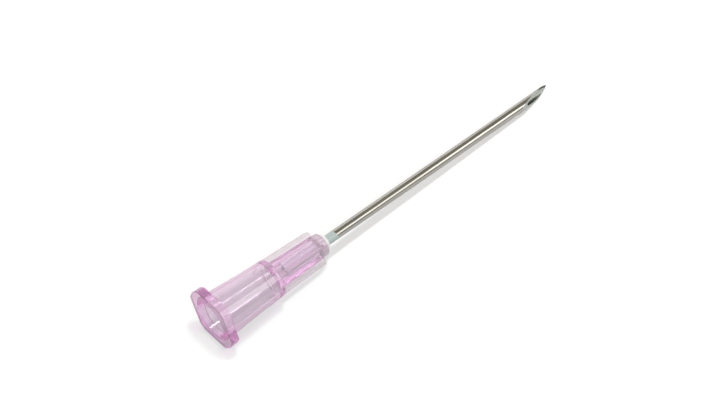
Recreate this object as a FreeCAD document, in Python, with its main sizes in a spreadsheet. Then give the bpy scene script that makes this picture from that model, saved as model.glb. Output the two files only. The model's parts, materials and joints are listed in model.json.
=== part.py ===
import FreeCAD, Part
import math
import os
import Sketcher

# Hypodermic needle: moulded hub, ground steel tube and the bead that bonds them.
# Every piece is drawn on one needle axis, mouth of the hub at height zero and
# point upwards. The finished needle is then laid down as it comes to rest.

# Driving dimensions in millimetres, degrees and per cent
SIZES = {
    # Flange at the open end of the hub: two lugs, two crowns, four straight flanks
    "flange_thickness": 1.12,
    "flange_round": 0.15,
    "lug_span": 7.83,
    "lug_corner": 0.45,
    "flank_span": 6.36,
    "flank_angle": 33.0,
    "crown_span": 6.9,
    "crown_corner": 0.8,
    # Outside of the hub body and of its nose
    "body_diameter": 6.08,
    "waist_diameter": 5.27,
    "waist_height": 5.6,
    "shoulder_diameter": 5.0,
    "shoulder_height": 9.4,
    "shoulder_round": 0.22,
    "nose_root_diameter": 3.34,
    "nose_root_fillet": 0.45,
    "nose_diameter": 2.9,
    "nose_round": 0.22,
    "hub_length": 17.1,
    # Thin wings along the nose
    "wing_count": 4,
    "wing_thickness": 0.34,
    "wing_turn": 8.0,
    "wing_root_span": 4.88,
    "wing_end_span": 4.48,
    "wing_gap": 0.8,
    "wing_corner": 0.45,
    "wing_foot": 0.6,
    # Hollow of the hub: conical socket, stepped floor and passage
    "socket_diameter": 4.3,
    "socket_taper": 6.0,
    "socket_depth": 7.75,
    "socket_chamfer": 0.12,
    "floor_step": 0.14,
    "floor_height": 8.7,
    "funnel_length": 0.75,
    "passage_diameter": 1.0,
    # Steel tube, its seat in the hub and its ground point
    "tube_diameter": 1.27,
    "tube_wall": 0.216,
    "tube_seat": 10.9,
    "tube_clearance": 0.02,
    "tube_free_length": 38.0,
    "bevel_length": 5.3,
    "bevel_angle": 12.5,
    "bevel_turn": 131.0,
    "point_angle": 21.5,
    "point_turn": 30.0,
    # Well round the tube in the nose, and the bead of adhesive that fills it
    "well_diameter": 2.1,
    "well_depth": 1.2,
    "well_cone": 0.4,
    "bead_land": 0.12,
    "bead_height": 0.6,
    "bead_rim": 0.16,
    "bead_round": 0.1,
}

# Rules that several outlines share
POINT_HEIGHT = "(Sizes.hub_length + Sizes.tube_free_length)"
WELL_FLOOR = "(Sizes.hub_length - Sizes.well_depth)"
WING_END = "(Sizes.hub_length - Sizes.wing_gap)"
TUBE_RADIUS = "(Sizes.tube_diameter / 2)"
BORE_RADIUS = "(Sizes.tube_diameter / 2 + Sizes.tube_clearance)"


def make_sheet(doc):
    """Put the driving dimensions into a spreadsheet, one named cell each."""
    sheet = doc.addObject("Spreadsheet::Sheet", "Sizes")
    for row, (name, value) in enumerate(SIZES.items(), start=1):
        sheet.set(f"A{row}", name)
        sheet.set(f"B{row}", str(value))
        sheet.setAlias(f"B{row}", name)
    doc.recompute()
    return sheet


def measure(owner, rule):
    """Present value of a rule, as a plain number."""
    result = owner.evalExpression(rule)
    return float(getattr(result, "Value", result))


def new_body(doc, label):
    body = doc.addObject("PartDesign::Body", label.capitalize() + "Body")
    body.Label = label
    return body


def origin_part(body, role):
    """One of the body's own origin planes or axes."""
    return next(item for item in body.Origin.OriginFeatures if item.Role == role)


def attach(sketch, body, role, turn=None):
    """Lay a sketch on an origin plane, turned about the needle axis where a rule says so."""
    sketch.AttachmentSupport = [(origin_part(body, role), "")]
    sketch.MapMode = "FlatFace"
    if turn:
        about_axis = FreeCAD.Rotation(FreeCAD.Vector(0, 1, 0), measure(sketch, turn))
        sketch.AttachmentOffset = FreeCAD.Placement(FreeCAD.Vector(0, 0, 0), about_axis)
        sketch.setExpression("AttachmentOffset.Rotation.Angle", f"({turn}) * 1 deg")


def tie_point(sketch, line, spot, x_rule, y_rule):
    """Hold one end of an edge at two rules, each a distance from the sketch's origin."""
    for kind, axis, rule in (("DistanceX", -2, x_rule), ("DistanceY", -1, y_rule)):
        if rule == "0":
            sketch.addConstraint(Sketcher.Constraint("PointOnObject", line, spot, axis))
            continue
        index = sketch.addConstraint(Sketcher.Constraint(kind, line, spot, measure(sketch, rule)))
        sketch.setExpression(f"Constraints[{index}]", rule)


def outline(body, name, role, corners, turn=None):
    """Closed outline of straight edges whose corners follow rules on the sizes."""
    sketch = body.newObject("Sketcher::SketchObject", name)
    attach(sketch, body, role, turn)
    points = [FreeCAD.Vector(measure(sketch, x), measure(sketch, y), 0) for x, y in corners]
    for start, end in zip(points, points[1:] + points[:1]):
        sketch.addGeometry(Part.LineSegment(start, end), False)
    for line in range(len(points)):
        following = (line + 1) % len(points)
        sketch.addConstraint(Sketcher.Constraint("Coincident", line, 2, following, 1))
    for line, (x_rule, y_rule) in enumerate(corners):
        tie_point(sketch, line, 1, x_rule, y_rule)
    return sketch


def revolve(body, name, kind, sketch):
    """Turn an outline once round the needle axis, adding or cutting."""
    before = body.Tip.Shape.Volume if body.Tip else 0.0
    feature = body.newObject(kind, name)
    feature.Profile = sketch
    feature.ReferenceAxis = (origin_part(body, "Z_Axis"), [""])
    feature.Angle = 360.0
    body.Document.recompute()
    grown = feature.Shape.Volume - before
    if (grown > 0) != (kind == "PartDesign::Revolution"):
        raise RuntimeError(f"{name} did not change the solid as it should")
    return feature


def repeat_round(body, name, original, count_rule):
    """Repeat a feature evenly round the needle axis."""
    pattern = body.newObject("PartDesign::PolarPattern", name)
    pattern.Originals = [original]
    pattern.Axis = (origin_part(body, "Z_Axis"), [""])
    pattern.Angle = 360.0
    pattern.setExpression("Occurrences", count_rule)
    body.Tip = pattern
    body.Document.recompute()
    return pattern


def round_edges(body, name, wanted, radius_rule):
    """Round those edges of the body so far that a test picks out."""
    base = body.Tip
    picked = [f"Edge{number}" for number, edge in enumerate(base.Shape.Edges, start=1) if wanted(edge)]
    if not picked:
        raise RuntimeError(f"{name}: no edge to round")
    fillet = body.newObject("PartDesign::Fillet", name)
    fillet.Base = (base, picked)
    fillet.setExpression("Radius", radius_rule)
    body.Document.recompute()
    return fillet


def middle(edge):
    """Radius from the needle axis and height of an edge's middle."""
    point = edge.valueAt((edge.FirstParameter + edge.LastParameter) / 2)
    return math.hypot(point.x, point.y), point.z


def near(value, target):
    return abs(value - target) < 1e-3


def rim(radius, height):
    """Test for the edges of a circle round the axis, at a radius and a height."""
    def wanted(edge):
        reach, level = middle(edge)
        return isinstance(edge.Curve, Part.Circle) and near(reach, radius) and near(level, height)
    return wanted


def flank_corner(span, side):
    """Corner where a straight flank meets the arc of a lug or of a crown.

    The flank's nearest point to the axis lies square to it. The corner is turned
    from there, towards the lug line or away from it, until it reaches the arc.
    """
    angle = f"((90 - Sizes.flank_angle) * 1 deg {side} acos(Sizes.flank_span / {span}))"
    return f"({span} / 2 * cos({angle}))", f"({span} / 2 * sin({angle}))"


def flange_outline(body):
    """Outline of the flange: flanks and arcs in turn, the lugs on the sketch's first axis."""
    sketch = body.newObject("Sketcher::SketchObject", "FlangeOutline")
    attach(sketch, body, "XY_Plane")
    lug = flank_corner("Sizes.lug_span", "-")
    crown = flank_corner("Sizes.crown_span", "+")
    places = [(lug, "", ""), (crown, "", ""), (crown, "-", ""), (lug, "-", ""),
              (lug, "-", "-"), (crown, "-", "-"), (crown, "", "-"), (lug, "", "-")]
    corners = [(x_sign + x_rule, y_sign + y_rule) for (x_rule, y_rule), x_sign, y_sign in places]
    points = [FreeCAD.Vector(measure(sketch, x), measure(sketch, y), 0) for x, y in corners]
    arc_tops = {1: ("Sizes.crown_span / 2", 0, 1), 3: ("Sizes.lug_span / 2", -1, 0),
                5: ("Sizes.crown_span / 2", 0, -1), 7: ("Sizes.lug_span / 2", 1, 0)}
    for edge, start in enumerate(points):
        end = points[(edge + 1) % len(points)]
        if edge in arc_tops:
            radius_rule, x_way, y_way = arc_tops[edge]
            top = FreeCAD.Vector(x_way, y_way, 0) * measure(sketch, radius_rule)
            sketch.addGeometry(Part.Arc(start, top, end), False)
        else:
            sketch.addGeometry(Part.LineSegment(start, end), False)
    for edge in range(len(points)):
        following = (edge + 1) % len(points)
        sketch.addConstraint(Sketcher.Constraint("Coincident", edge, 2, following, 1))
        if edge in arc_tops:
            radius_rule = arc_tops[edge][0]
            size = Sketcher.Constraint("Radius", edge, measure(sketch, radius_rule))
            sketch.setExpression(f"Constraints[{sketch.addConstraint(size)}]", radius_rule)
        else:
            tie_point(sketch, edge, 1, *corners[edge])
            tie_point(sketch, edge, 2, *corners[following])
    return sketch


def hub_flange(body):
    """Flange at the mouth, with rounded corners and both faces rounded off all the way."""
    flange = body.newObject("PartDesign::Pad", "Flange")
    flange.Profile = flange_outline(body)
    flange.setExpression("Length", "Sizes.flange_thickness")
    body.Document.recompute()
    thickness = measure(body, "Sizes.flange_thickness")

    def upright(radius_rule):
        def wanted(edge):
            reach, level = middle(edge)
            return near(reach, measure(body, radius_rule)) and near(level, thickness / 2)
        return wanted

    def face_edge(edge):
        level = middle(edge)[1]
        return near(level, 0.0) or near(level, thickness)
    round_edges(body, "LugCorners", upright("Sizes.lug_span / 2"), "Sizes.lug_corner")
    round_edges(body, "CrownCorners", upright("Sizes.crown_span / 2"), "Sizes.crown_corner")
    round_edges(body, "FlangeRounds", face_edge, "Sizes.flange_round")


def hub_outside(body):
    """Turned outside: body that tapers in two stages, shoulder and nose."""
    sketch = outline(body, "HubOutline", "XZ_Plane", [
        ("0", "0"),
        ("Sizes.body_diameter / 2", "0"),
        ("Sizes.waist_diameter / 2", "Sizes.waist_height"),
        ("Sizes.shoulder_diameter / 2", "Sizes.shoulder_height"),
        ("Sizes.nose_root_diameter / 2", "Sizes.shoulder_height"),
        ("Sizes.nose_diameter / 2", "Sizes.hub_length"),
        ("0", "Sizes.hub_length"),
    ])
    return revolve(body, "HubOutside", "PartDesign::Revolution", sketch)


def hub_wings(body):
    """Thin wings that carry the line of the body on along the nose."""
    foot = "(Sizes.shoulder_height - Sizes.wing_foot)"
    slope = f"((Sizes.wing_root_span - Sizes.wing_end_span) / 2 / ({WING_END} - Sizes.shoulder_height))"
    sketch = outline(body, "WingOutline", "XZ_Plane", [
        ("0", foot),
        (f"Sizes.wing_root_span / 2 + {slope} * Sizes.wing_foot", foot),
        ("Sizes.wing_end_span / 2", WING_END),
        ("0", WING_END),
    ], turn="Sizes.wing_turn")
    wing = body.newObject("PartDesign::Pad", "Wing")
    wing.Profile = sketch
    wing.Midplane = True
    wing.setExpression("Length", "Sizes.wing_thickness")
    repeat_round(body, "Wings", wing, "Sizes.wing_count")
    end_radius = measure(body, "Sizes.wing_end_span / 2")
    end_height = measure(body, WING_END)

    def outer_corner(edge):
        reach, level = middle(edge)
        return near(reach, end_radius) and near(level, end_height)
    round_edges(body, "WingCorners", outer_corner, "Sizes.wing_corner")


def hub_hollow(body):
    """Core of the mould: conical socket, stepped floor, passage, tube bore and bonding well."""
    floor_radius = ("(Sizes.socket_diameter / 2 - Sizes.socket_depth * Sizes.socket_taper / 200"
                    " - Sizes.floor_step)")
    sketch = outline(body, "CoreOutline", "XZ_Plane", [
        ("0", "0"),
        ("Sizes.socket_diameter / 2 + Sizes.socket_chamfer", "0"),
        ("Sizes.socket_diameter / 2 - Sizes.socket_chamfer * Sizes.socket_taper / 200", "Sizes.socket_chamfer"),
        (f"{floor_radius} + Sizes.floor_step", "Sizes.socket_depth"),
        (floor_radius, "Sizes.socket_depth + Sizes.floor_step"),
        (floor_radius, "Sizes.floor_height"),
        ("Sizes.passage_diameter / 2", "Sizes.floor_height + Sizes.funnel_length"),
        ("Sizes.passage_diameter / 2", "Sizes.tube_seat"),
        (BORE_RADIUS, "Sizes.tube_seat"),
        (BORE_RADIUS, WELL_FLOOR),
        ("Sizes.well_diameter / 2", f"{WELL_FLOOR} + Sizes.well_cone"),
        ("Sizes.well_diameter / 2", "Sizes.hub_length"),
        ("0", "Sizes.hub_length"),
    ])
    revolve(body, "HubHollow", "PartDesign::Groove", sketch)


def build_hub(doc):
    """One moulding: the outside first, and its hollow cut last through all of it."""
    body = new_body(doc, "hub")
    hub_flange(body)
    hub_outside(body)
    round_edges(body, "NoseRound", rim(measure(body, "Sizes.nose_diameter / 2"),
                                       measure(body, "Sizes.hub_length")), "Sizes.nose_round")
    shoulder = measure(body, "Sizes.shoulder_height")
    round_edges(body, "ShoulderRound", rim(measure(body, "Sizes.shoulder_diameter / 2"), shoulder),
                "Sizes.shoulder_round")
    round_edges(body, "NoseRootFillet", rim(measure(body, "Sizes.nose_root_diameter / 2"), shoulder),
                "Sizes.nose_root_fillet")
    hub_wings(body)
    hub_hollow(body)
    return body


def cut_plane(body, name, reach_rule, height_rule, angle_rule, turn):
    """Grind one flat: it passes a point beside the axis and leans from it by an angle.

    The point lies at the rule's reach on the side that the turn gives, and the
    flat rises from there towards the other side. What lies above it is cut.
    """
    margin = "Sizes.tube_diameter"
    lean = f"tan({angle_rule} * 1 deg)"
    low = f"({height_rule} - ({margin} - {reach_rule}) / {lean})"
    high = f"({height_rule} + ({margin} + {reach_rule}) / {lean})"
    sketch = outline(body, name + "Outline", "XZ_Plane", [
        (margin, low),
        (margin, high),
        (f"-{margin}", high),
    ], turn=turn)
    before = body.Tip.Shape.Volume
    cut = body.newObject("PartDesign::Pocket", name)
    cut.Profile = sketch
    cut.Type = "ThroughAll"
    cut.Midplane = True
    body.Document.recompute()
    if cut.Shape.Volume > before - 1e-4:
        raise RuntimeError(f"{name} ground nothing away")


def build_cannula(doc):
    """Drawn steel tube with a long ground bevel and two short facets that make its point."""
    body = new_body(doc, "cannula")
    bore = f"({TUBE_RADIUS} - Sizes.tube_wall)"
    sketch = outline(body, "TubeOutline", "XZ_Plane", [
        (bore, "Sizes.tube_seat"),
        (TUBE_RADIUS, "Sizes.tube_seat"),
        (TUBE_RADIUS, POINT_HEIGHT),
        (bore, POINT_HEIGHT),
    ])
    revolve(body, "Tube", "PartDesign::Revolution", sketch)
    heel = f"({POINT_HEIGHT} - Sizes.bevel_length)"
    cut_plane(body, "Bevel", TUBE_RADIUS, heel, "Sizes.bevel_angle", "Sizes.bevel_turn")
    facet_reach = f"(-{TUBE_RADIUS} * cos(Sizes.point_turn * 1 deg))"
    for name, sign in (("NearFacet", "+"), ("FarFacet", "-")):
        cut_plane(body, name, facet_reach, POINT_HEIGHT, "Sizes.point_angle",
                  f"Sizes.bevel_turn {sign} Sizes.point_turn")
    return body


def build_adhesive(doc):
    """Cured bead: it fills the well round the tube and stands proud of the nose."""
    body = new_body(doc, "adhesive")
    top = "(Sizes.hub_length + Sizes.bead_height)"
    sketch = outline(body, "BeadOutline", "XZ_Plane", [
        (TUBE_RADIUS, WELL_FLOOR),
        (BORE_RADIUS, WELL_FLOOR),
        ("Sizes.well_diameter / 2", f"{WELL_FLOOR} + Sizes.well_cone"),
        ("Sizes.well_diameter / 2", "Sizes.hub_length + Sizes.bead_land"),
        (f"{TUBE_RADIUS} + Sizes.bead_rim", top),
        (TUBE_RADIUS, top),
    ])
    revolve(body, "Bead", "PartDesign::Revolution", sketch)
    rims = [rim(measure(body, f"{TUBE_RADIUS} + Sizes.bead_rim"), measure(body, top)),
            rim(measure(body, "Sizes.well_diameter / 2"), measure(body, "Sizes.hub_length + Sizes.bead_land"))]
    round_edges(body, "BeadRound", lambda edge: any(test(edge) for test in rims), "Sizes.bead_round")
    return body


def lay_down(sheet, bodies):
    """Lay the needle along X on one flank of its flange and on its point.

    Turned about its axis by the flank's angle, the needle has that flank level.
    It then dips until its point comes as low as the flank, and the middle of the
    space that it takes up on the ground goes to the origin.
    """
    axis_to_x = FreeCAD.Rotation(FreeCAD.Vector(1, 1, 1), 120)
    roll = FreeCAD.Rotation(FreeCAD.Vector(0, 0, 1), sheet.flank_angle)

    def box(shape, pitch):
        turned = shape.copy()
        dip = FreeCAD.Rotation(FreeCAD.Vector(0, 1, 0), pitch)
        turned.Placement = FreeCAD.Placement(FreeCAD.Vector(0, 0, 0), dip * axis_to_x * roll)
        return turned.optimalBoundingBox(False, False)

    hub, cannula = (bodies[name].Shape for name in ("hub", "cannula"))
    length = sheet.hub_length + sheet.tube_free_length
    pitch = 0.0
    for _ in range(4):
        drop = box(cannula, pitch).ZMin - box(hub, pitch).ZMin
        pitch += math.degrees(math.atan2(drop, length))
    boxes = [box(shape, pitch) for shape in (hub, cannula)]
    low = [min(getattr(item, side) for item in boxes) for side in ("XMin", "YMin", "ZMin")]
    high = [max(getattr(item, side) for item in boxes) for side in ("XMax", "YMax")]
    shift = FreeCAD.Vector(-(low[0] + high[0]) / 2, -(low[1] + high[1]) / 2, -low[2])
    dip = FreeCAD.Rotation(FreeCAD.Vector(0, 1, 0), pitch)
    rest = FreeCAD.Placement(shift, dip * axis_to_x * roll)
    for body in bodies.values():
        body.Placement = rest
    return rest


def check_document(doc, bodies):
    """Stop if any object failed or any piece is not one valid solid."""
    for item in doc.Objects:
        if {"Invalid", "Error"} & set(item.State):
            raise RuntimeError(f"{item.Name} failed: {item.State}")
    for name, body in bodies.items():
        shape = body.Shape
        if shape.isNull() or not shape.isValid() or len(shape.Solids) != 1:
            raise RuntimeError(f"{name} is not one valid solid")


def main():
    doc = FreeCAD.newDocument("HypodermicNeedle")
    sheet = make_sheet(doc)
    bodies = {body.Label: body for body in (build_hub(doc), build_cannula(doc), build_adhesive(doc))}
    lay_down(sheet, bodies)
    doc.recompute()
    check_document(doc, bodies)
    os.makedirs("parts", exist_ok=True)
    for name, body in bodies.items():
        body.Shape.exportStep(f"parts/{name}.step")
        box = body.Shape.optimalBoundingBox(False, False)
        print(name, "volume", round(body.Shape.Volume, 3),
              "box", [round(v, 3) for v in (box.XMin, box.YMin, box.ZMin, box.XMax, box.YMax, box.ZMax)])


main()
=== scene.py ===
import json
import math

import bpy
import numpy as np
from bpy.props import FloatProperty, FloatVectorProperty, IntProperty, PointerProperty
from mathutils import Matrix, Quaternion, Vector


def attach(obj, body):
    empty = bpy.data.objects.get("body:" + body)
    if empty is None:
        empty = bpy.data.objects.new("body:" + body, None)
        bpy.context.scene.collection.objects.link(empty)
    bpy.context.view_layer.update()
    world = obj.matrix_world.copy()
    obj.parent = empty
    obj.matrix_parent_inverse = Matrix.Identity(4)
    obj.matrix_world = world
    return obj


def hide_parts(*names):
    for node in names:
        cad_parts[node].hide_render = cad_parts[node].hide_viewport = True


bl_info = {
    "name": "Hypodermic needle",
    "version": (1, 0, 0),
    "blender": (4, 5, 0),
    "location": "3D View > Sidebar > Needle",
    "description": "Clear moulded hub, ground steel tube and adhesive bead round a packed frame",
    "category": "Object",
}

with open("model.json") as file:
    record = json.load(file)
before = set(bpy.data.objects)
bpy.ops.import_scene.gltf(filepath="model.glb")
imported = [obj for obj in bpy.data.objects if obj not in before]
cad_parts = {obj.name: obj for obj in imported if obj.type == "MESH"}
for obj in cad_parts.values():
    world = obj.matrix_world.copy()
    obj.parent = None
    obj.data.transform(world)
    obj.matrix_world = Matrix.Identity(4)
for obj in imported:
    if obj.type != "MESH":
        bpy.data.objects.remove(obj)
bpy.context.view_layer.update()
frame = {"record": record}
MOUNTS = {mount["name"]: mount for mount in frame["record"]["mounts"]}
MM = 0.001

# The needle's own frame: mouth of the hub at its origin, third axis towards the
# point, first axis along the upper lug. At rest one flank of the flange lies flat,
# so the lug line stands off the vertical by what the flank's angle leaves of 90.
FLANK_ANGLE = math.radians(33)
FLANK_NORMAL = math.pi / 2 - FLANK_ANGLE
MOUTH = np.array(MOUNTS["syringe_socket"]["pos_m"])
AXIS = np.array(MOUNTS["lumen"]["axis"]) / np.linalg.norm(MOUNTS["lumen"]["axis"])
UPRIGHT = np.array([0.0, 0.0, 1.0]) - AXIS * AXIS[2]
UPRIGHT /= np.linalg.norm(UPRIGHT)
FAR_SIDE = np.cross(UPRIGHT, AXIS)
LUG_LINE = math.cos(FLANK_NORMAL) * UPRIGHT + math.sin(FLANK_NORMAL) * FAR_SIDE
NEEDLE_AXES = np.stack([LUG_LINE, np.cross(AXIS, LUG_LINE), AXIS])


def mount_size(mount, key):
    """A mount's dimension in millimetres."""
    return MOUNTS[mount]["dims"][key]


def length(name, description, default_mm):
    """Length property in metres, its default given in millimetres."""
    return FloatProperty(name=name, description=description, default=default_mm * MM,
                         min=0.0, precision=6, unit="LENGTH")


def angle(name, description, degrees):
    """Angle property, its default given in degrees."""
    return FloatProperty(name=name, description=description, default=math.radians(degrees), subtype="ANGLE")


def colour(name, description, value):
    """Colour property."""
    return FloatVectorProperty(name=name, description=description, default=value, size=3,
                               min=0.0, max=1.0, subtype="COLOR")


def share(name, description, value):
    """Share between none and all."""
    return FloatProperty(name=name, description=description, default=value,
                         min=0.0, max=1.0, subtype="FACTOR")


def level(name, description, value):
    """Plain number from zero up."""
    return FloatProperty(name=name, description=description, default=value, min=0.0)


class HubSizes(bpy.types.PropertyGroup):
    """Sizes of the moulded hub."""
    lug_radius: length("Lug radius", "Reach of the two lugs from the axis", mount_size("lock_lugs", "r_mm"))
    lug_corner: length("Lug corner", "Rounding where a lug meets a flank", 0.45)
    flank_reach: length("Flank reach", "Distance of the straight flanks from the axis", 3.18)
    crown_radius: length("Crown radius", "Reach of the two crowns between the lugs", 3.45)
    crown_corner: length("Crown corner", "Rounding where a crown meets a flank", 0.8)
    flange_thickness: length("Flange thickness", "From face to face", mount_size("lock_lugs", "length_mm"))
    flange_round: length("Flange round", "Rounding of the flange's edges", 0.15)
    body_radius: length("Body radius", "Body at the mouth", 3.04)
    body_foot: length("Body foot", "Hollow rounding where the body leaves the flange", 0.1)
    waist_radius: length("Waist radius", "Body where its taper changes", 2.635)
    waist_height: length("Waist height", "Place where the taper changes", 5.6)
    shoulder_radius: length("Shoulder radius", "Body at the shoulder", 2.5)
    shoulder_height: length("Shoulder height", "Place of the shoulder", 9.4)
    shoulder_round: length("Shoulder round", "Rounding of the shoulder's edge", 0.22)
    nose_root_radius: length("Nose root radius", "Nose at the shoulder", 1.67)
    nose_root_fillet: length("Nose root fillet", "Hollow rounding at the foot of the nose", 0.45)
    nose_radius: length("Nose radius", "Nose at its end", 1.45)
    nose_round: length("Nose round", "Rounding of the nose's end", 0.22)
    hub_length: length("Hub length", "Mouth to the end of the nose", 17.1)
    wing_thickness: length("Wing thickness", "Thickness of a wing", 0.34)
    wing_root_reach: length("Wing root reach", "Wing's outer edge at the shoulder, from the axis", 2.44)
    wing_end_reach: length("Wing end reach", "Wing's outer edge at its end, from the axis", 2.24)
    wing_gap: length("Wing gap", "End of the wings to the end of the nose", 0.8)
    wing_corner: length("Wing corner", "Rounding of a wing's outer end", 0.45)
    wing_edge: length("Wing edge", "Softened long edges of a wing", 0.05)
    wing_foot: length("Wing foot", "Hollow rounding where a wing joins the nose", 0.1)
    wing_turn: angle("Wing turn", "Turn of the wings from the lug line", 8)
    socket_radius: length("Socket radius", "Socket at the mouth", mount_size("syringe_socket", "r_mm"))
    socket_taper: share("Socket taper", "Loss of diameter over each length", 0.06)
    socket_depth: length("Socket depth", "Length of the cone", mount_size("syringe_socket", "length_mm"))
    socket_chamfer: length("Socket chamfer", "Chamfer of the mouth", 0.12)
    floor_step: length("Floor step", "Step at the end of the cone", 0.14)
    floor_height: length("Floor height", "Start of the funnel", 8.7)
    funnel_length: length("Funnel length", "Length of the funnel", 0.75)
    passage_radius: length("Passage radius", "Passage between socket and tube", 0.5)
    tube_seat: length("Tube seat", "Place of the tube's rear end", 10.9)
    tube_gap: length("Tube gap", "Gap round the tube in its bore", 0.02)
    well_radius: length("Well radius", "Well that the adhesive fills", 1.05)
    well_depth: length("Well depth", "Depth of the well", 1.2)
    well_cone: length("Well cone", "Height of the well's conical floor", 0.4)


class TubeSizes(bpy.types.PropertyGroup):
    """Sizes of the steel tube and its ground point."""
    outer_radius: length("Outer radius", "Outside of the tube", mount_size("needle_shaft", "r_mm"))
    bore_radius: length("Bore radius", "Inside of the tube", mount_size("lumen", "r_mm"))
    point_height: length("Point height", "Hub's mouth to the point", 55.1)
    bevel_length: length("Bevel length", "Heel of the bevel to the point", 5.3)
    bevel_angle: angle("Bevel angle", "Ground bevel from the axis", 12.5)
    bevel_turn: angle("Bevel turn", "Heel of the bevel, turned from the lug line", 131)
    point_angle: angle("Point angle", "Lancet facets from the axis", 21.5)
    point_turn: angle("Point turn", "Turn of each lancet facet from the bevel", 30)


class BeadSizes(bpy.types.PropertyGroup):
    """Sizes of the adhesive bead outside the well."""
    land: length("Land", "Upright edge of the bead on the nose", 0.12)
    height: length("Height", "Top of the bead above the nose", 0.6)
    rim: length("Rim", "Width of the bead's top round the tube", 0.16)
    round: length("Round", "Rounding of the bead", 0.1)
    waviness: length("Waviness", "Uneven height of the cured bead", 0.03)
    contact: length("Contact", "How far the bead wets into the walls that it bonds", 0.004)


class Finishes(bpy.types.PropertyGroup):
    """Colours of the materials."""
    hub_surface: colour("Hub surface", "Tint of the plastic's surface", (0.80, 0.765, 0.80))
    hub_flow: colour("Hub flow lines", "Tint along the flow of the plastic", (0.78, 0.735, 0.78))
    # Painted light piping: deeper pink round the mouth and on the flange's sides, for light carried through
    # the plastic.
    painted_piped_rim: colour("Hub rim", "Deeper tint round the mouth and on the flange's sides", (1.0, 0.56, 0.92))
    # Painted light piping: deeper pink where the plastic is seen along its surface.
    painted_piped_edge: colour("Hub edge", "Tint where the plastic is seen along its surface", (0.95, 0.62, 0.80))
    # Painted shade: the wings are tinted greyer for the shadowed floor seen through them.
    painted_wing_shade: colour("Hub wings", "Tint of the thin wings", (0.64, 0.60, 0.62))
    # Painted shade: the lugs' front faces are tinted greyer.
    painted_lug_shade: colour("Hub lugs", "Greyer tint of the lugs' faces", (0.46, 0.48, 0.40))
    hub_depth: colour("Hub depth", "Colour that the plastic lets through", (0.98, 0.28, 0.92))
    hub_density: level("Hub density", "Colour taken up in each metre", 185.0)
    hub_shadow: colour("Hub shadow", "Light that each wall lets on to the floor", (0.74, 0.79, 0.755))
    steel: colour("Steel", "Drawn stainless steel", (0.52, 0.51, 0.48))
    steel_lines: colour("Steel drawing lines", "Darker drawing lines of the steel", (0.40, 0.385, 0.35))
    ground_steel: colour("Ground steel", "Ground faces of the point", (0.57, 0.61, 0.585))
    # Painted shade: dark colour for the shade inside the tube and on the lancet facets.
    painted_shade_steel: colour("Inner steel", "Depth of the tube and the lancet facets", (0.13, 0.13, 0.10))
    keyed_band: colour("Keyed band", "Matte band beside the nose", (0.43, 0.51, 0.505))
    keyed_end: colour("Keyed end", "Matte end of the tube inside the nose", (0.74, 0.64, 0.78))
    ring_mark: colour("Ring mark", "Faint ring further along the tube", (0.36, 0.39, 0.44))
    adhesive: colour("Adhesive", "Cured adhesive outside the nose", (0.92, 0.95, 0.90))
    adhesive_tint: colour("Adhesive in the nose", "Cured adhesive in the well", (0.86, 0.68, 0.82))


class StageSettings(bpy.types.PropertyGroup):
    """Light, floor, camera and how finely the surfaces are divided."""
    columns: IntProperty(name="Columns", description="Quads round the hub", default=640, min=160)
    floor_size: length("Floor size", "Side of the floor", 4000)
    floor_colour: colour("Floor colour", "Plain pale floor", (0.60, 0.604, 0.618))
    floor_glow: level("Floor glow", "Lift that makes the open floor white", 0.315)
    room: colour("Room", "Dim room that the steel mirrors", (0.34, 0.32, 0.275))
    surroundings: colour("Surroundings", "What shows through the plastic", (0.88, 0.87, 0.88))
    focal_length: level("Focal length", "Lens in millimetres", 120.6)
    camera_place: FloatVectorProperty(name="Camera place", description="Where the camera stands", size=3,
                                      default=(-0.113012, -0.139885, 0.223035), subtype="TRANSLATION")
    camera_aim: FloatVectorProperty(name="Camera aim", description="Direction of its sight", size=3,
                                    default=(0.385333, 0.500393, -0.775323), subtype="XYZ")
    camera_roll: angle("Camera roll", "Turn of the camera about its line of sight", -5.158)
    light_steps: IntProperty(name="Light steps", description="Turns of light that are followed",
                             default=12, min=1)


GROUPS = {
    "needle_hub": HubSizes,
    "needle_tube": TubeSizes,
    "needle_bead": BeadSizes,
    "needle_finishes": Finishes,
    "needle_stage": StageSettings,
}


def settings(name):
    """One of the property groups kept with the scene."""
    return getattr(bpy.context.scene, name)


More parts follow.
